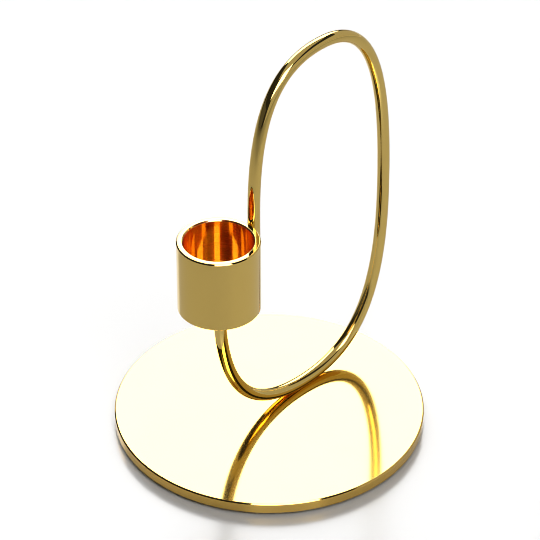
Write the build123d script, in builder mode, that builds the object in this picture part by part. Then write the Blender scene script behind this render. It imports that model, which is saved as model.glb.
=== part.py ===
# Candle holder: one round rod, bent into a flat spiral loop, stands on a round plate.
# The rod's lower end carries the candle cup, and its upper end comes down along the cup's wall.
# Millimetres, +Z up. The loop lies in the XZ plane, with the cup towards -X.
# The origin is on the table, under the centre of the plate.
import os
from math import radians, sqrt, tan

from build123d import *

os.makedirs("parts", exist_ok=True)

# Base plate, and the felt pad glued under it
plate_diameter = 100.0
plate_thickness = 3.75
plate_edge_chamfer = 0.42
pad_thickness = 1.0
pad_inset = 2.0
pad_edge_chamfer = 0.2

# Candle cup: a sleeve with a floor pressed into a seat in its lower end
cup_bore = 21.8
cup_wall = 2.1
cup_height = 24.7
cup_rim_chamfer = 0.4
cup_foot_chamfer = 0.25
floor_thickness = 0.95
floor_seat_share = 0.4

# Rod: how thick it is, and how deep a flat is filed where it stands on the plate
rod_diameter = 4.0
rod_flat_depth = 0.2
rod_tip_chamfer = 0.4

# Loop: where the rod's centre line runs. Offsets are measured from the centre of the plate,
# and heights from the plate's upper face.
cup_offset = 21.9
cup_lift = 51.05
foot_offset = 15.0
belly_offset = 51.75
belly_lift = 60.8
crown_offset = 22.4
crown_lift = 127.1
upright_rise = 2.5

# Bends: each turns the rod through a right angle. The shares say how far the first and the last
# control point reach from the ends of the bend towards its corner.
fall_shares = (0.50, 0.80)
belly_shares = (0.62, 0.77)
shoulder_shares = (0.53, 0.87)
return_shares = (0.66, 0.73)
spans_per_bend = 4

# Lap of the rod's upper end on the cup's wall, and the brazed seam that joins the two
braze_gap = 0.2
lap_share = 0.7
seam_length_share = 0.85
seam_width_share = 0.55
seam_hollow_share = 0.15

# Countersunk screws: head, socket, spacing and clearances follow from the thread's diameter
screw_diameter = 2.0
screw_clearance = 0.1
thread_clearance = 0.03
seat_clearance = 0.02
head_recess = 0.1
head_diameter_share = 1.9
head_land_share = 0.05
sink_angle = 90
socket_width_share = 0.65
socket_depth_share = 0.35
screw_spacing_share = 1.3

# Rivet that ties the cup's floor to the rod: a brass pin, flared out flush with the floor
rivet_diameter = 2.0
rivet_flare = 0.4
rivet_clearance = 0.02

# How far a screw, the rivet, and the holes that take them reach into the rod, as shares of its
# thickness
thread_share = 0.6
base_hole_share = 0.7
rivet_share = 1.1
rivet_hole_share = 1.15

# How far a cutting shape runs past the face that it cuts
overrun = 1.0

# Levels and radii that follow from the sizes above
plate_radius = plate_diameter / 2
plate_bottom = pad_thickness
plate_top = plate_bottom + plate_thickness
rod_radius = rod_diameter / 2
cup_bore_radius = cup_bore / 2
cup_radius = cup_bore_radius + cup_wall
cup_bottom = plate_top + cup_lift
cup_rim = cup_bottom + cup_height
floor_top = cup_bottom + floor_thickness
floor_radius = cup_bore_radius + cup_wall * floor_seat_share
lap_offset = -cup_offset + cup_radius + braze_gap + rod_radius
rod_tip = cup_rim - cup_height * lap_share

# Screw sizes that follow from the thread's diameter and from what each screw passes through
screw_radius = screw_diameter / 2
head_radius = screw_radius * head_diameter_share
head_land = screw_diameter * head_land_share
sink_radius = head_radius + (head_recess + head_land) * tan(radians(sink_angle / 2)) + seat_clearance
screw_spacing = head_radius * 2 * screw_spacing_share
base_screw_length = plate_thickness - head_recess + rod_diameter * thread_share

# Rivet sizes that follow from its diameter
rivet_radius = rivet_diameter / 2
rivet_head_radius = rivet_radius + rivet_flare
rivet_sink_radius = rivet_head_radius + rivet_clearance * 2
flare_depth = rivet_flare / tan(radians(sink_angle / 2))
rivet_length = floor_thickness + rod_diameter * rivet_share

# Planes that the heads face: the screws' down out of the plate, the rivet's up out of the floor
plate_underside = Plane(origin=(foot_offset, 0, plate_bottom), z_dir=(0, 0, -1))
floor_upper_face = Plane(origin=(-cup_offset, 0, floor_top))


def quarter_bend(start, end, leaves_upright, shares):
    """The four control points of a smooth bend from start to end, square to each other there."""
    leave_share, arrive_share = shares
    run = end - start
    along = Vector(run.X, 0, 0)
    upward = Vector(0, 0, run.Z)
    if leaves_upright:
        return start, start + upward * leave_share, end - along * arrive_share, end
    return start, start + along * leave_share, end - upward * arrive_share, end


def point_on(bend, t):
    """The point of a bend at t, from 0 at its start to 1 at its end."""
    a, b, c, d = bend
    s = 1 - t
    return a * s**3 + b * (3 * s * s * t) + c * (3 * s * t * t) + d * t**3


def heading_on(bend, t):
    """The direction in which the rod runs at t."""
    a, b, c, d = bend
    s = 1 - t
    return ((b - a) * s * s + (c - b) * (2 * s * t) + (d - c) * t * t).normalized()


def bend_arcs(bend):
    """Draw a bend as pairs of arcs, each tangent to the next."""
    for span in range(spans_per_bend):
        t0 = span / spans_per_bend
        t1 = (span + 1) / spans_per_bend
        start = point_on(bend, t0)
        end = point_on(bend, t1)
        leave = heading_on(bend, t0)
        arrive = heading_on(bend, t1)
        chord = end - start
        both = leave + arrive
        spread = 2 * (1 - leave.dot(arrive))
        lean = chord.dot(both)
        reach = (sqrt(lean**2 + spread * chord.dot(chord)) - lean) / spread
        middle = (start + end + (leave - arrive) * reach) * 0.5
        TangentArc(start, middle, tangent=leave)
        TangentArc(middle, end, tangent=(end - arrive * reach) - (start + leave * reach))


def countersunk_screw(length):
    """A socket screw with its head's face at the origin, looking up, and its thread below."""
    cone_depth = head_land + (head_radius - screw_radius) / tan(radians(sink_angle / 2))
    with BuildPart() as screw:
        with BuildSketch(Plane.XZ):
            with BuildLine():
                Polyline(
                    (0, 0),
                    (head_radius, 0),
                    (head_radius, -head_land),
                    (screw_radius, -cone_depth),
                    (screw_radius, -length),
                    (0, -length),
                    close=True,
                )
            make_face()
        revolve(axis=Axis.Z)
        with BuildSketch(Plane.XY):
            RegularPolygon(screw_diameter * socket_width_share / 2, 6, major_radius=False)
        extrude(amount=-screw_diameter * socket_depth_share, mode=Mode.SUBTRACT)
    return screw.part


# Felt pad under the plate
with BuildPart() as base_pad:
    with BuildSketch(Plane.XY):
        Circle(plate_radius - pad_inset)
    extrude(amount=pad_thickness)
    chamfer(base_pad.edges().group_by(Axis.Z)[0], length=pad_edge_chamfer)
base_pad.part.label = "base_pad"
export_step(base_pad.part, "parts/base_pad.step")

# Round plate, drilled and countersunk from below for the rod's two screws
with BuildPart() as base_plate:
    with BuildSketch(Plane.XY.offset(plate_bottom)):
        Circle(plate_radius)
    extrude(amount=plate_thickness)
    chamfer(base_plate.edges(), length=plate_edge_chamfer)
    with Locations(plate_underside):
        with GridLocations(screw_spacing, 0, 2, 1):
            CounterSinkHole(
                radius=screw_radius + screw_clearance,
                counter_sink_radius=sink_radius,
                counter_sink_angle=sink_angle,
            )
base_plate.part.label = "base_plate"
export_step(base_plate.part, "parts/base_plate.step")

# Spiral rod: down from the cup, across the plate, up the far side, over and down beside the cup
rod_start = Vector(-cup_offset, 0, cup_bottom)
rod_foot = Vector(foot_offset, 0, plate_top + rod_radius - rod_flat_depth)
rod_belly = Vector(belly_offset, 0, plate_top + belly_lift)
rod_crown = Vector(crown_offset, 0, plate_top + crown_lift)
rod_return = Vector(lap_offset, 0, cup_rim + upright_rise)
rod_end = Vector(lap_offset, 0, rod_tip)
with BuildPart() as spiral_rod:
    with BuildLine() as rod_path:
        bend_arcs(quarter_bend(rod_start, rod_foot, True, fall_shares))
        bend_arcs(quarter_bend(rod_foot, rod_belly, False, belly_shares))
        bend_arcs(quarter_bend(rod_belly, rod_crown, True, shoulder_shares))
        bend_arcs(quarter_bend(rod_crown, rod_return, False, return_shares))
        Line(rod_return, rod_end)
    with BuildSketch(Plane(origin=rod_start, z_dir=(0, 0, -1))):
        Circle(rod_radius)
    sweep(path=rod_path.line)
    tip_face = spiral_rod.faces().filter_by(GeomType.PLANE).sort_by(Axis.X)[-1]
    chamfer(tip_face.edges(), length=rod_tip_chamfer)
    # The flat on which the rod stands
    with Locations((foot_offset, 0, plate_top)):
        Box(
            belly_offset,
            rod_diameter + overrun,
            rod_flat_depth + overrun,
            align=(Align.CENTER, Align.CENTER, Align.MAX),
            mode=Mode.SUBTRACT,
        )
    # Tapped holes for the base screws, up from the flat, and the rivet's hole, down its end
    with BuildSketch(Plane.XY.offset(plate_top)):
        with Locations((foot_offset, 0)):
            with GridLocations(screw_spacing, 0, 2, 1):
                Circle(screw_radius + thread_clearance)
    extrude(amount=rod_diameter * base_hole_share, mode=Mode.SUBTRACT)
    with BuildSketch(Plane.XY.offset(cup_bottom)):
        with Locations((-cup_offset, 0)):
            Circle(rivet_radius + rivet_clearance)
    extrude(amount=-rod_diameter * rivet_hole_share, mode=Mode.SUBTRACT)
spiral_rod.part.label = "spiral_rod"
export_step(spiral_rod.part, "parts/spiral_rod.step")

# Two screws that hold the rod down on the plate
base_screw = countersunk_screw(base_screw_length)
with BuildPart() as base_screws:
    with Locations(plate_underside.offset(-head_recess)):
        with GridLocations(screw_spacing, 0, 2, 1):
            add(base_screw)
base_screws.part.label = "base_screws"
export_step(base_screws.part, "parts/base_screws.step")

# Cup sleeve: a straight tube with a seat for the floor in its lower end
with BuildPart() as cup_sleeve:
    with BuildSketch(Plane.XY.offset(cup_bottom)):
        with Locations((-cup_offset, 0)):
            Circle(cup_radius)
            Circle(cup_bore_radius, mode=Mode.SUBTRACT)
    extrude(amount=cup_height)
    chamfer(cup_sleeve.edges().group_by(Axis.Z)[-1], length=cup_rim_chamfer)
    chamfer(cup_sleeve.edges().group_by(Axis.Z)[0].sort_by(SortBy.RADIUS)[-1], length=cup_foot_chamfer)
    with BuildSketch(Plane.XY.offset(cup_bottom)):
        with Locations((-cup_offset, 0)):
            Circle(floor_radius)
    extrude(amount=floor_thickness, mode=Mode.SUBTRACT)
cup_sleeve.part.label = "cup_sleeve"
export_step(cup_sleeve.part, "parts/cup_sleeve.step")

# Cup floor: a thin disc pressed into the sleeve's seat and riveted to the end of the rod
with BuildPart() as cup_floor:
    with BuildSketch(Plane.XY.offset(cup_bottom)):
        with Locations((-cup_offset, 0)):
            Circle(floor_radius)
    extrude(amount=floor_thickness)
    with Locations(floor_upper_face):
        CounterSinkHole(
            radius=rivet_radius + rivet_clearance,
            counter_sink_radius=rivet_sink_radius,
            counter_sink_angle=sink_angle,
        )
cup_floor.part.label = "cup_floor"
export_step(cup_floor.part, "parts/cup_floor.step")

# Rivet through the cup's floor into the end of the rod
with BuildPart() as cup_rivet:
    with BuildSketch(Plane(origin=floor_upper_face.origin, x_dir=(1, 0, 0), z_dir=(0, -1, 0))):
        with BuildLine():
            Polyline(
                (0, 0),
                (rivet_head_radius, 0),
                (rivet_radius, -flare_depth),
                (rivet_radius, -rivet_length),
                (0, -rivet_length),
                close=True,
            )
        make_face()
    revolve(axis=Axis(origin=floor_upper_face.origin, direction=(0, 0, 1)))
cup_rivet.part.label = "cup_rivet"
export_step(cup_rivet.part, "parts/cup_rivet.step")

# Brazed seam: fills the narrow space between the rod's upper end and the cup's wall, with a
# hollow fillet on each side
seam_half_width = rod_radius * seam_width_share
seam_on_cup = -cup_offset + sqrt(cup_radius**2 - seam_half_width**2)
seam_on_rod = lap_offset - sqrt(rod_radius**2 - seam_half_width**2)
seam_middle = (seam_on_cup + seam_on_rod) / 2
seam_waist = seam_half_width - (seam_on_rod - seam_on_cup) * seam_hollow_share
lap_length = cup_rim - rod_tip
seam_length = lap_length * seam_length_share
seam_bottom = rod_tip + (lap_length - seam_length) / 2
with BuildPart() as braze_seam:
    with BuildSketch(Plane.XY.offset(seam_bottom)):
        with BuildLine():
            ThreePointArc(
                (seam_on_cup, -seam_half_width),
                (-cup_offset + cup_radius, 0),
                (seam_on_cup, seam_half_width),
            )
            ThreePointArc(
                (seam_on_cup, seam_half_width),
                (seam_middle, seam_waist),
                (seam_on_rod, seam_half_width),
            )
            ThreePointArc(
                (seam_on_rod, seam_half_width),
                (lap_offset - rod_radius, 0),
                (seam_on_rod, -seam_half_width),
            )
            ThreePointArc(
                (seam_on_rod, -seam_half_width),
                (seam_middle, -seam_waist),
                (seam_on_cup, -seam_half_width),
            )
        make_face()
    extrude(amount=seam_length)
braze_seam.part.label = "braze_seam"
export_step(braze_seam.part, "parts/braze_seam.step")
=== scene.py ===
from math import cos, pi, radians, sin, sqrt, tau

import bmesh
import bpy
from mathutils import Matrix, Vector


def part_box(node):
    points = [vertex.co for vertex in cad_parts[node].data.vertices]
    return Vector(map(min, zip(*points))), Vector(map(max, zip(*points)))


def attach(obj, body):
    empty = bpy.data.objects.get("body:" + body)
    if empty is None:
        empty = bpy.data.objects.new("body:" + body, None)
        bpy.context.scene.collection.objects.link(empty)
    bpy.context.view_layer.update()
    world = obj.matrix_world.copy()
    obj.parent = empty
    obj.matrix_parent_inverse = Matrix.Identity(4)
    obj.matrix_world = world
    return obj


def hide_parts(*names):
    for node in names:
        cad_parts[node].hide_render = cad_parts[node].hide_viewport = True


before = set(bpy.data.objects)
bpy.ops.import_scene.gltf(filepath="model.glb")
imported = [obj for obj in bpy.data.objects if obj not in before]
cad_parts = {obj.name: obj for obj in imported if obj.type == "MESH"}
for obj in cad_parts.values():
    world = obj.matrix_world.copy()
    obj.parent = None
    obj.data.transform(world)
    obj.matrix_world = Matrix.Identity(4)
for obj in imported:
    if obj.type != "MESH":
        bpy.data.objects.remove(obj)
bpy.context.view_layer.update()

# Felt pad: a die-cut disc of dark pressed wool, glued under the plate so that the metal and its
# screw heads never touch the table. Its cut edge is soft and a little uneven.
mm = 0.001
pad_low, pad_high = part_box("base_pad")
pad_radius = (pad_high[0] - pad_low[0]) / 2
pad_edge_ease = 0.2 * mm
fuzz_height = 0.05 * mm
fuzz_depth = pad_edge_ease * 3
fuzz_pace_x, fuzz_pace_y = 9100, 8700
fuzz_lean_x, fuzz_lean_y = 5300, -4100
felt_dark = (0.011, 0.0105, 0.010, 1)
felt_light = (0.046, 0.043, 0.040, 1)
fibre_share = 0.7


class Signal:
    """One output of a shader node. Sums, differences and products of signals add Math nodes."""

    def __init__(self, tree, socket=None):
        self.tree = tree
        self.socket = socket

    def node(self, kind, inputs, output=0, stops=(), **settings):
        """Add a node, set it up, feed its sockets with values or signals, and return one output."""
        new = self.tree.nodes.new("ShaderNode" + kind)
        for name, value in settings.items():
            setattr(new, name, value)
        for number, (position, colour) in enumerate(stops):
            stop = new.color_ramp.elements[number]
            stop.position = position
            stop.color = colour
        for name, value in inputs.items():
            if isinstance(value, Signal):
                self.tree.links.new(value.socket, new.inputs[name])
            else:
                new.inputs[name].default_value = value
        return Signal(self.tree, new.outputs[output] if new.outputs else None)

    def maths(self, operation, first, second):
        return self.node("Math", {0: first, 1: second}, operation=operation)

    def mix(self, share, first, second, blend_type="MIX"):
        """Blend two colours. The share says how much of the second one shows."""
        inputs = {0: share, 6: first, 7: second}
        return self.node("Mix", inputs, output=2, data_type="RGBA", blend_type=blend_type)

    def __add__(self, other):
        return self.maths("ADD", self, other)

    def __sub__(self, other):
        return self.maths("SUBTRACT", self, other)

    def __rsub__(self, other):
        return self.maths("SUBTRACT", other, self)

    def __mul__(self, other):
        return self.maths("MULTIPLY", self, other)

    __radd__ = __add__
    __rmul__ = __mul__


def new_finish(name):
    """An empty material, and a signal that starts its node tree."""
    finish = bpy.data.materials.new(name)
    finish.use_nodes = True
    finish.node_tree.nodes.clear()
    return finish, Signal(finish.node_tree)


def pressed_felt():
    """Matted wool: fibres at random, paler at their tips, with a dull rough face."""
    finish, start = new_finish("pressed_felt")
    place = start.node("TexCoord", {}, output="Object")
    fibre = start.node("TexNoise", {"Vector": place, "Scale": 2600, "Detail": 6, "Roughness": 0.7})
    clump = start.node("TexNoise", {"Vector": place, "Scale": 320, "Detail": 3})
    shade = fibre * fibre_share + clump * (1 - fibre_share)
    colour = start.node("ValToRGB", {"Fac": shade}, stops=((0.36, felt_dark), (0.66, felt_light)))
    matting = start.node("Bump", {"Height": shade, "Strength": 0.6, "Distance": 0.2 * mm})
    wool = {"Roughness": 0.95, "Specular IOR Level": 0.15, "Sheen Weight": 0.25}
    shader = start.node("BsdfPrincipled", {**wool, "Base Color": colour, "Normal": matting})
    start.node("OutputMaterial", {"Surface": shader})
    return finish


def eased(corners, ease, closed):
    """An outline with its corners rounded off, and guard points that keep the flats flat.
    An open outline keeps its first and last point as they are."""
    guard = ease * 2
    points = []
    for number, corner in enumerate(corners):
        here = Vector(corner)
        if not closed and number in (0, len(corners) - 1):
            points.append(here)
            continue
        before = (Vector(corners[number - 1]) - here).normalized()
        after = (Vector(corners[(number + 1) % len(corners)]) - here).normalized()
        points.append(here + before * guard)
        for share in (0, 1 / 3, 2 / 3, 1):
            points.append(here + before * ease * (1 - share) ** 2 + after * ease * share**2)
        points.append(here + after * guard)
    return points


def skin(shape, rings, closed=False):
    """Join each ring of points to the next with a band of faces. A ring of one point is a tip."""
    followers = rings[1:] + rings[:1] if closed else rings[1:]
    for one, two in zip(rings, followers):
        count = max(len(one), len(two))
        for near in range(count):
            far = (near + 1) % count
            corners = []
            for ring, turn in ((one, near), (one, far), (two, far), (two, near)):
                corners.append(ring[turn % len(ring)])
            shape.faces.new(list(dict.fromkeys(corners)))


def smooth_mesh(name, shape):
    """Close off a mesh in the making: faces outwards, shaded smooth."""
    bmesh.ops.recalc_face_normals(shape, faces=shape.faces)
    for face in shape.faces:
        face.smooth = True
    mesh = bpy.data.meshes.new(name)
    shape.to_mesh(mesh)
    shape.free()
    return mesh


def turned_mesh(name, outline, axis_x, steps, closed):
    """Turn an outline of radii and heights about an upright axis, as on a lathe."""
    shape = bmesh.new()
    rings = []
    for radius, height in outline:
        turns = steps if radius > 0 else 1
        angles = [tau * step / turns for step in range(turns)]
        ring = [(axis_x + radius * cos(a), radius * sin(a), height) for a in angles]
        rings.append([shape.verts.new(point) for point in ring])
    skin(shape, rings, closed)
    return smooth_mesh(name, shape)


def fit(name, mesh, finish, node):
    """Put a finished piece in place of its plain solid, on the one rigid body."""
    piece = bpy.data.objects.new(name, mesh)
    bpy.context.scene.collection.objects.link(piece)
    mesh.materials.append(finish)
    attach(piece, "root")
    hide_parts(node)


pad_corners = [
    (0, pad_low[2]),
    (pad_radius, pad_low[2]),
    (pad_radius, pad_high[2]),
    (0, pad_high[2]),
]
pad_outline = eased(pad_corners, pad_edge_ease, closed=False)
pad_mesh = turned_mesh("felt_pad", pad_outline, axis_x=0, steps=360, closed=False)
for vertex in pad_mesh.vertices:
    spot = vertex.co
    wave_x = sin(spot.x * fuzz_pace_x + spot.z * fuzz_lean_x)
    wave_y = sin(spot.y * fuzz_pace_y + spot.z * fuzz_lean_y)
    flat = Vector((spot.x, spot.y, 0))
    if flat.length > pad_radius - fuzz_depth:
        spot -= flat.normalized() * fuzz_height * (1 + wave_x * wave_y)
fit("felt_pad", pad_mesh, pressed_felt(), "base_pad")

# Base plate: a round of brass plate, turned true on a lathe, chamfered above and below, then buffed
# to a mirror. It carries the rod on two screws from below.
plate_low, plate_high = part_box("base_plate")
plate_radius = (plate_high[0] - plate_low[0]) / 2
plate_chamfer = 0.42 * mm
brass_ease = 0.05 * mm
brass_bright = (0.821, 0.583, 0.169, 1)
# The plate's side and chamfers: a darker, redder copy of the same brass, painted shade.
brass_edge_shade = (0.817, 0.533, 0.133, 1)
brass_smeared = (0.985, 0.975, 0.95, 1)
# Dark red laid on the bore's tool marks: painted shade that deepens the red inside the cup.
bore_groove_shade = (0.868, 0.183, 0.077, 1)
tool_mark_limit = 0.56
smear_haze = 0.02
hairline_haze = 0.01
hairline_relief = 0.7
nick_relief = 0.3
outwards = (1, 1, 0)


def polished_brass(name, lay, axis, split, inner, outer):
    """Buffed brass: a clear mirror with faint hairlines, soft smears and tiny nicks. The hairlines
    and the tool's marks follow one another along lay. Nearer to the upright axis than split, the brass
    has the tone, the haze and the scoring of inner, and further out those of outer. Scoring is how
    much rougher the tool's marks are than the rest, and scored marks get a dark red painted shade."""
    finish, start = new_finish(name)
    place = start.node("TexCoord", {}, output="Object")
    offset = start.node("VectorMath", {0: place, 1: axis}, operation="SUBTRACT")
    along = start.node("VectorMath", {0: offset, 1: lay}, operation="MULTIPLY")
    run = start.node("VectorMath", {0: along}, output="Value", operation="LENGTH")
    spoke = start.node("VectorMath", {0: offset, 1: outwards}, operation="MULTIPLY")
    radius = start.node("VectorMath", {0: spoke}, output="Value", operation="LENGTH")
    within = start.maths("LESS_THAN", radius, split)
    beyond = 1 - within
    fine = {"W": run, "Scale": 9000, "Detail": 4}
    hairline = start.node("TexNoise", fine, noise_dimensions="1D")
    finest = {"W": run, "Scale": 26000, "Detail": 2}
    tool_mark = start.node("TexNoise", finest, noise_dimensions="1D")
    scoring = within * inner["scoring"] + beyond * outer["scoring"]
    groove = start.maths("GREATER_THAN", tool_mark, tool_mark_limit) * scoring
    smear = start.node("TexNoise", {"Vector": place, "Scale": 55, "Detail": 3, "Distortion": 0.6})
    nick = start.node("TexNoise", {"Vector": place, "Scale": 1900, "Detail": 2})
    zone_tone = start.mix(within, outer["tone"], inner["tone"])
    # Scored tool marks in the bore take the dark red painted shade.
    groove_shaded = start.mix(start.maths("GREATER_THAN", groove, 0), zone_tone, bore_groove_shade)
    tone = start.mix(smear, groove_shaded, brass_smeared, blend_type="MULTIPLY")
    haze = within * inner["haze"] + beyond * outer["haze"]
    roughness = haze + groove + smear * smear_haze + hairline * hairline_haze
    relief = hairline * hairline_relief + nick * nick_relief
    buffing = start.node("Bump", {"Height": relief, "Strength": 0.012, "Distance": 0.02 * mm})
    brass = {"Metallic": 1.0, "Base Color": tone, "Roughness": roughness, "Normal": buffing}
    shader = start.node("BsdfPrincipled", brass)
    start.node("OutputMaterial", {"Surface": shader})
    return finish


plate_corners = [
    (0, plate_low[2]),
    (plate_radius - plate_chamfer, plate_low[2]),
    (plate_radius, plate_low[2] + plate_chamfer),
    (plate_radius, plate_high[2] - plate_chamfer),
    (plate_radius - plate_chamfer, plate_high[2]),
    (0, plate_high[2]),
]
plate_outline = eased(plate_corners, brass_ease, closed=False)
plate_mesh = turned_mesh("base_disc", plate_outline, axis_x=0, steps=400, closed=False)
plate_finish = polished_brass(
    "polished_brass_plate",
    lay=outwards,
    axis=(0, 0, 0),
    split=plate_radius - plate_chamfer / 2,
    inner={"tone": brass_bright, "haze": 0.065, "scoring": 0},
    # The outer ring, over the side and chamfers, carries that painted shade.
    outer={"tone": brass_edge_shade, "haze": 0.03, "scoring": 0},
)
fit("base_disc", plate_mesh, plate_finish, "base_plate")

# Base screws: two small countersunk socket screws of steel. They come up through the plate into the
# rod, and the felt hides them.
screw_steel_tone = (0.42, 0.41, 0.40, 1)
screw_steel_pale = (0.60, 0.59, 0.57, 1)


def screw_steel():
    """Turned steel: a fine grain from the tool, and a satin face with darker spots of oil."""
    finish, start = new_finish("screw_steel")
    place = start.node("TexCoord", {}, output="Object")
    grain = start.node("TexNoise", {"Vector": place, "Scale": 6000, "Detail": 3})
    oil = start.node("TexNoise", {"Vector": place, "Scale": 900, "Detail": 2})
    tone = start.mix(oil, screw_steel_tone, screw_steel_pale)
    cut = start.node("Bump", {"Height": grain, "Strength": 0.05, "Distance": 0.02 * mm})
    steel = {"Metallic": 1.0, "Base Color": tone, "Roughness": oil * 0.2 + 0.2, "Normal": cut}
    shader = start.node("BsdfPrincipled", steel)
    start.node("OutputMaterial", {"Surface": shader})
    return finish


base_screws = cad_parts["base_screws"]
base_screws.data.materials.clear()
base_screws.data.materials.append(screw_steel())

# Spiral rod: one length of round brass rod, bent in a former through four smooth quarter bends into
# a flat loop. A flat is filed where it stands on the plate, its tip is chamfered and all of it buffed.
rod_low, rod_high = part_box("spiral_rod")
cup_low, cup_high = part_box("cup_sleeve")
rod_radius = (rod_high[1] - rod_low[1]) / 2
cup_radius = (cup_high[0] - cup_low[0]) / 2
cup_axis = (cup_high[0] + cup_low[0]) / 2
plate_top = plate_high[2]
braze_gap = 0.2 * mm
rod_flat = 0.2 * mm
rod_tip_chamfer = 0.4 * mm
foot_offset = 15.0 * mm
belly_lift = 60.8 * mm
crown_offset = 22.4 * mm
upright_rise = 2.5 * mm
lap_x = cup_axis + cup_radius + braze_gap + rod_radius
lap_share = 0.7
rod_start = Vector((cup_axis, 0, cup_low[2]))
rod_foot = Vector((foot_offset, 0, plate_top + rod_radius - rod_flat))
rod_belly = Vector((rod_high[0] - rod_radius, 0, plate_top + belly_lift))
rod_crown = Vector((crown_offset, 0, rod_high[2] - rod_radius))
rod_return = Vector((lap_x, 0, cup_high[2] + upright_rise))
rod_tip = Vector((lap_x, 0, cup_high[2] - (cup_high[2] - cup_low[2]) * lap_share))
fall_shares = (0.50, 0.80)
belly_shares = (0.62, 0.77)
shoulder_shares = (0.53, 0.87)
return_shares = (0.66, 0.73)
# Stations of the chamfered tip: how far back, and how far in from the rod's side, in chamfers
tip_shares = ((2, 0), (1.1, 0), (1, 0.02), (0.06, 0.96), (0, 1.06), (0, 1.3))
bend_steps = 180
rod_sides = 72


def quarter_bend(start, end, leaves_upright, shares):
    """Stations through one right-angle bend: the rod's centre, its heading there and its radius."""
    run = end - start
    level = Vector((run.x, 0, 0))
    upright = Vector((0, 0, run.z))
    leave, arrive = (upright, level) if leaves_upright else (level, upright)
    first = start + leave * shares[0]
    second = end - arrive * shares[1]
    stations = []
    for step in range(bend_steps):
        t = step / bend_steps
        s = 1 - t
        point = start * s**3 + first * 3 * s * s * t + second * 3 * s * t * t + end * t**3
        heading = (first - start) * s * s + (second - first) * 2 * s * t + (end - second) * t * t
        stations.append((point, heading.normalized(), rod_radius))
    return stations


down = Vector((0, 0, -1))
rod_stations = [(rod_start, down, 0), (rod_start, down, rod_radius - brass_ease)]
rod_stations += quarter_bend(rod_start, rod_foot, True, fall_shares)
rod_stations += quarter_bend(rod_foot, rod_belly, False, belly_shares)
rod_stations += quarter_bend(rod_belly, rod_crown, True, shoulder_shares)
rod_stations += quarter_bend(rod_crown, rod_return, False, return_shares)
rod_stations.append((rod_return, down, rod_radius))
for back, inset in tip_shares:
    point = rod_tip - down * rod_tip_chamfer * back
    rod_stations.append((point, down, rod_radius - rod_tip_chamfer * inset))
rod_stations.append((rod_tip, down, 0))

shape = bmesh.new()
square = Vector((0, 1, 0))
rings = []
for point, heading, radius in rod_stations:
    outward = heading.cross(square)
    angles = [tau * side / rod_sides for side in range(rod_sides if radius > 0 else 1)]
    ring = [shape.verts.new(point + (outward * cos(a) + square * sin(a)) * radius) for a in angles]
    for vertex in ring:
        vertex.co.z = max(vertex.co.z, plate_top)
    rings.append(ring)
skin(shape, rings)
rod_mesh = smooth_mesh("spiral_loop", shape)
rod_buffed = {"tone": brass_bright, "haze": 0.03, "scoring": 0}
rod_finish = polished_brass(
    "polished_brass_rod",
    lay=(0.3, 0.3, 0.3),
    axis=(0, 0, 0),
    split=plate_radius,
    inner=rod_buffed,
    outer=rod_buffed,
)
fit("spiral_loop", rod_mesh, rod_finish, "spiral_rod")

# Cup sleeve: a length of heavy brass tube, faced and chamfered at the rim, with a seat turned in
# its lower end for the floor. The outside is buffed like the plate. The bore keeps fine rings from
# the boring tool, and it is painted a darker, redder brass as shade inside the cup.
cup_bore_radius = 10.9 * mm
cup_rim_chamfer = 0.4 * mm
cup_foot_chamfer = 0.25 * mm
floor_low, floor_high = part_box("cup_floor")
floor_radius = (floor_high[0] - floor_low[0]) / 2
# Darker, redder brass for the bore and the cup floor: painted shade inside the cup.
brass_bore_shade = (0.83, 0.647, 0.251, 1)
sleeve_corners = [
    (floor_radius, cup_low[2]),
    (cup_radius - cup_foot_chamfer, cup_low[2]),
    (cup_radius, cup_low[2] + cup_foot_chamfer),
    (cup_radius, cup_high[2] - cup_rim_chamfer),
    (cup_radius - cup_rim_chamfer, cup_high[2]),
    (cup_bore_radius + cup_rim_chamfer, cup_high[2]),
    (cup_bore_radius, cup_high[2] - cup_rim_chamfer),
    (cup_bore_radius, floor_high[2]),
    (floor_radius, floor_high[2]),
]
sleeve_outline = eased(sleeve_corners, brass_ease, closed=True)
sleeve_mesh = turned_mesh("cup_wall", sleeve_outline, cup_axis, steps=256, closed=True)
sleeve_finish = polished_brass(
    "polished_brass_cup",
    lay=(0, 0, 1),
    axis=(cup_axis, 0, 0),
    split=(cup_bore_radius + cup_radius) / 2,
    inner={"tone": brass_bore_shade, "haze": 0.035, "scoring": 0.27},
    outer={"tone": brass_bright, "haze": 0.02, "scoring": 0},
)
fit("cup_wall", sleeve_mesh, sleeve_finish, "cup_sleeve")

# Cup floor: a thin brass disc pressed into the sleeve's seat, with a small countersunk hole in the
# middle for the rivet that ties it to the rod.
rivet_low, rivet_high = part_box("cup_rivet")
rivet_head_radius = (rivet_high[0] - rivet_low[0]) / 2
rivet_radius = 1.0 * mm
rivet_gap = 0.02 * mm
rivet_flare = rivet_head_radius - rivet_radius
floor_ease = 0.02 * mm
floor_corners = [
    (rivet_radius + rivet_gap, floor_low[2]),
    (floor_radius, floor_low[2]),
    (floor_radius, floor_high[2]),
    (rivet_head_radius + rivet_gap * 2, floor_high[2]),
    (rivet_radius + rivet_gap, floor_high[2] - rivet_flare - rivet_gap),
]
floor_outline = eased(floor_corners, floor_ease, closed=True)
floor_mesh = turned_mesh("cup_base", floor_outline, cup_axis, steps=192, closed=True)
# The cup floor and its rivet take the bore's painted shade.
floor_bore_shade = {"tone": brass_bore_shade, "haze": 0.05, "scoring": 0}
floor_finish = polished_brass(
    "polished_brass_floor",
    lay=outwards,
    axis=(cup_axis, 0, 0),
    split=cup_radius,
    inner=floor_bore_shade,
    outer=floor_bore_shade,
)
fit("cup_base", floor_mesh, floor_finish, "cup_floor")

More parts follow.
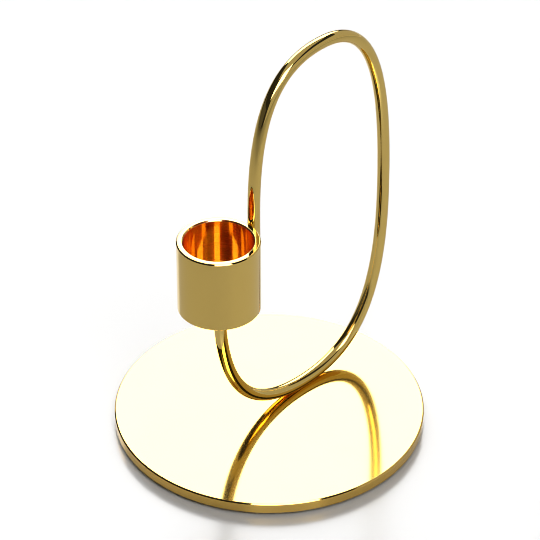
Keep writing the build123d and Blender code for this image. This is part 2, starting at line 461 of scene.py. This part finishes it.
# Cup rivet: a brass pin in the end of the rod, hammered out into the floor's countersink and buffed
# flush, so that only a hairline ring shows.
rivet_corners = [
    (0, rivet_low[2]),
    (rivet_radius, rivet_low[2]),
    (rivet_radius, rivet_high[2] - rivet_flare),
    (rivet_head_radius, rivet_high[2]),
    (0, rivet_high[2]),
]
rivet_outline = eased(rivet_corners, floor_ease, closed=False)
rivet_mesh = turned_mesh("floor_rivet", rivet_outline, cup_axis, steps=96, closed=False)
fit("floor_rivet", rivet_mesh, floor_finish, "cup_rivet")

# Braze seam: a thin run of brass filler, drawn by heat into the gap between the rod's upper end and
# the cup's wall. It dies away at both ends and ripples slightly where it froze.
seam_low, seam_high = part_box("braze_seam")
seam_half_width = (seam_high[1] - seam_low[1]) / 2
seam_levels = 90
seam_strips = 9
seam_hollow_share = 0.15
seam_end_share = 0.12
seam_end_power = 8
seam_ripple_share = 0.04
seam_ripple_pace = 70
braze_tone = (0.90, 0.66, 0.24, 1)
braze_dark = (0.62, 0.40, 0.13, 1)


def braze_metal():
    """Frozen filler: satin, a little darker where the flux burnt, with shallow ripples."""
    finish, start = new_finish("braze_metal")
    place = start.node("TexCoord", {}, output="Object")
    burn = start.node("TexNoise", {"Vector": place, "Scale": 700, "Detail": 4})
    waves = {"Vector": place, "Scale": 420, "Distortion": 2.5}
    ripple = start.node("TexWave", waves, bands_direction="Z")
    tone = start.mix(burn, braze_tone, braze_dark)
    frozen = start.node("Bump", {"Height": ripple, "Strength": 0.25, "Distance": 0.05 * mm})
    satin = burn * 0.25 + 0.12
    filler = {"Metallic": 1.0, "Base Color": tone, "Roughness": satin, "Normal": frozen}
    shader = start.node("BsdfPrincipled", filler)
    start.node("OutputMaterial", {"Surface": shader})
    return finish


shape = bmesh.new()
rings = []
for level in range(seam_levels + 1):
    share = level / seam_levels
    height = seam_low[2] + (seam_high[2] - seam_low[2]) * share
    taper = min(1, sqrt(1 - (2 * share - 1) ** seam_end_power) + seam_end_share)
    ripple = 1 - seam_ripple_share + seam_ripple_share * sin(share * seam_ripple_pace)
    half = seam_half_width * taper * ripple
    steps = [half * (2 * step / seam_strips - 1) for step in range(seam_strips + 1)]
    on_cup = [Vector((cup_axis + sqrt(cup_radius**2 - y * y), y, height)) for y in steps]
    on_rod = [Vector((lap_x - sqrt(rod_radius**2 - y * y), y, height)) for y in reversed(steps)]
    mouth = on_rod[0].x - on_cup[-1].x
    hollow = Vector((mouth / 2, -mouth * seam_hollow_share, 0))
    outline = on_cup + [on_cup[-1] + hollow] + on_rod
    outline.append(on_cup[0] + Vector((hollow.x, -hollow.y, 0)))
    rings.append([shape.verts.new(point) for point in outline])
skin(shape, rings)
shape.faces.new(rings[0])
shape.faces.new(rings[-1])
seam_mesh = smooth_mesh("brazed_joint", shape)
fit("brazed_joint", seam_mesh, braze_metal(), "braze_seam")

# Studio floor: a wide board painted a matt pale grey, under a thin satin film. From the camera's
# side the film also mirrors the large softbox behind the holder, softly, so that the board reads as
# white.
floor_half = 4.0
paint_tone = (0.523, 0.523, 0.523, 1)
paint_mottle = (0.5326, 0.5326, 0.528, 1)
film_white = (1, 1, 1, 1)
film_share = 0.112
shape = bmesh.new()
bmesh.ops.create_grid(shape, x_segments=8, y_segments=8, size=floor_half)
studio_floor = bpy.data.objects.new("studio_floor", smooth_mesh("studio_floor", shape))
bpy.context.scene.collection.objects.link(studio_floor)
finish, start = new_finish("floor_paint")
place = start.node("TexCoord", {}, output="Object")
mottle = start.node("TexNoise", {"Vector": place, "Scale": 3})
tone = start.mix(mottle, paint_tone, paint_mottle)
matt = {"Base Color": tone, "Roughness": 1.0, "Specular IOR Level": 0.0}
paint = start.node("BsdfPrincipled", matt)
satin = {"Base Color": film_white, "Metallic": 1.0, "Roughness": 0.22}
film = start.node("BsdfPrincipled", satin)
shader = start.node("MixShader", {0: film_share, 1: paint, 2: film})
start.node("OutputMaterial", {"Surface": shader})
studio_floor.data.materials.append(finish)

# Camera: a long lens, well back and looking down. It stands on the diagonal between the loop's plane
# and the line square to it, so that the flat loop shows at 45 degrees.
camera_bearing = radians(225)
camera_distance = 973.8 * mm
camera_lift = radians(38.26)
camera_pitch = radians(35.51)
camera_heading = radians(-45.017)
camera_data = bpy.data.cameras.new("camera")
camera_data.lens = 200
camera_data.sensor_width = 36
camera_data.clip_start = 0.05
camera = bpy.data.objects.new("camera", camera_data)
bpy.context.scene.collection.objects.link(camera)
camera_reach = camera_distance * cos(camera_lift)
camera_height = plate_low[2] + camera_distance * sin(camera_lift)
camera_x = camera_reach * cos(camera_bearing)
camera_y = camera_reach * sin(camera_bearing)
camera.location = (camera_x, camera_y, camera_height)
camera.rotation_euler = (pi / 2 - camera_pitch, 0, camera_heading)
bpy.context.scene.camera = camera

# Studio light: softboxes in a dim room. A large one behind the holder whitens the mirror of the
# plate, a tall one just above the line of sight picks out the front chamfers, and dull panels fill
# the other sides. Bearings and tilts are in degrees, lengths in metres.
room_dark = (0.024, 0.024, 0.024, 1)
panel_glow = 0.456


def softbox(name, bearing, reach, rise, tilt, width, height, brightness):
    """A soft rectangular lamp at a bearing and reach from the holder, tilted down towards it."""
    lamp = bpy.data.lights.new(name, "AREA")
    lamp.shape = "RECTANGLE"
    lamp.size = width
    lamp.size_y = height
    lamp.energy = brightness * width * height * pi
    box = bpy.data.objects.new(name, lamp)
    bpy.context.scene.collection.objects.link(box)
    box.location = (reach * cos(radians(bearing)), reach * sin(radians(bearing)), rise)
    box.rotation_euler = (radians(90 - tilt), 0, radians(bearing + 90))


softbox("back_softbox", bearing=56, reach=1.6, rise=1.2, tilt=36,
        width=1.85, height=1.34, brightness=5.04)
softbox("front_softbox", bearing=237, reach=0.32, rise=0.49, tilt=0,
        width=0.30, height=0.46, brightness=5.52)
softbox("top_panel", bearing=45, reach=0, rise=1.4, tilt=90,
        width=1.5, height=1.5, brightness=0.432)
for side_bearing in (5, -40, -85):
    softbox("side_panel", side_bearing, reach=1.5, rise=0.62, tilt=0,
            width=1.242, height=1.24, brightness=panel_glow)
softbox("near_panel", bearing=-121, reach=1.5, rise=0.45, tilt=0,
        width=0.73, height=0.9, brightness=panel_glow)
softbox("far_panel", bearing=160, reach=1.5, rise=0.3, tilt=0,
        width=2.4, height=0.6, brightness=0.066)

room = bpy.data.worlds.new("studio_room")
room.use_nodes = True
room.node_tree.nodes["Background"].inputs["Color"].default_value = room_dark
bpy.context.scene.world = room
bpy.context.scene.view_settings.view_transform = "Standard"
bpy.context.scene.cycles.glossy_bounces = 12
bpy.context.scene.cycles.filter_width = 1.0
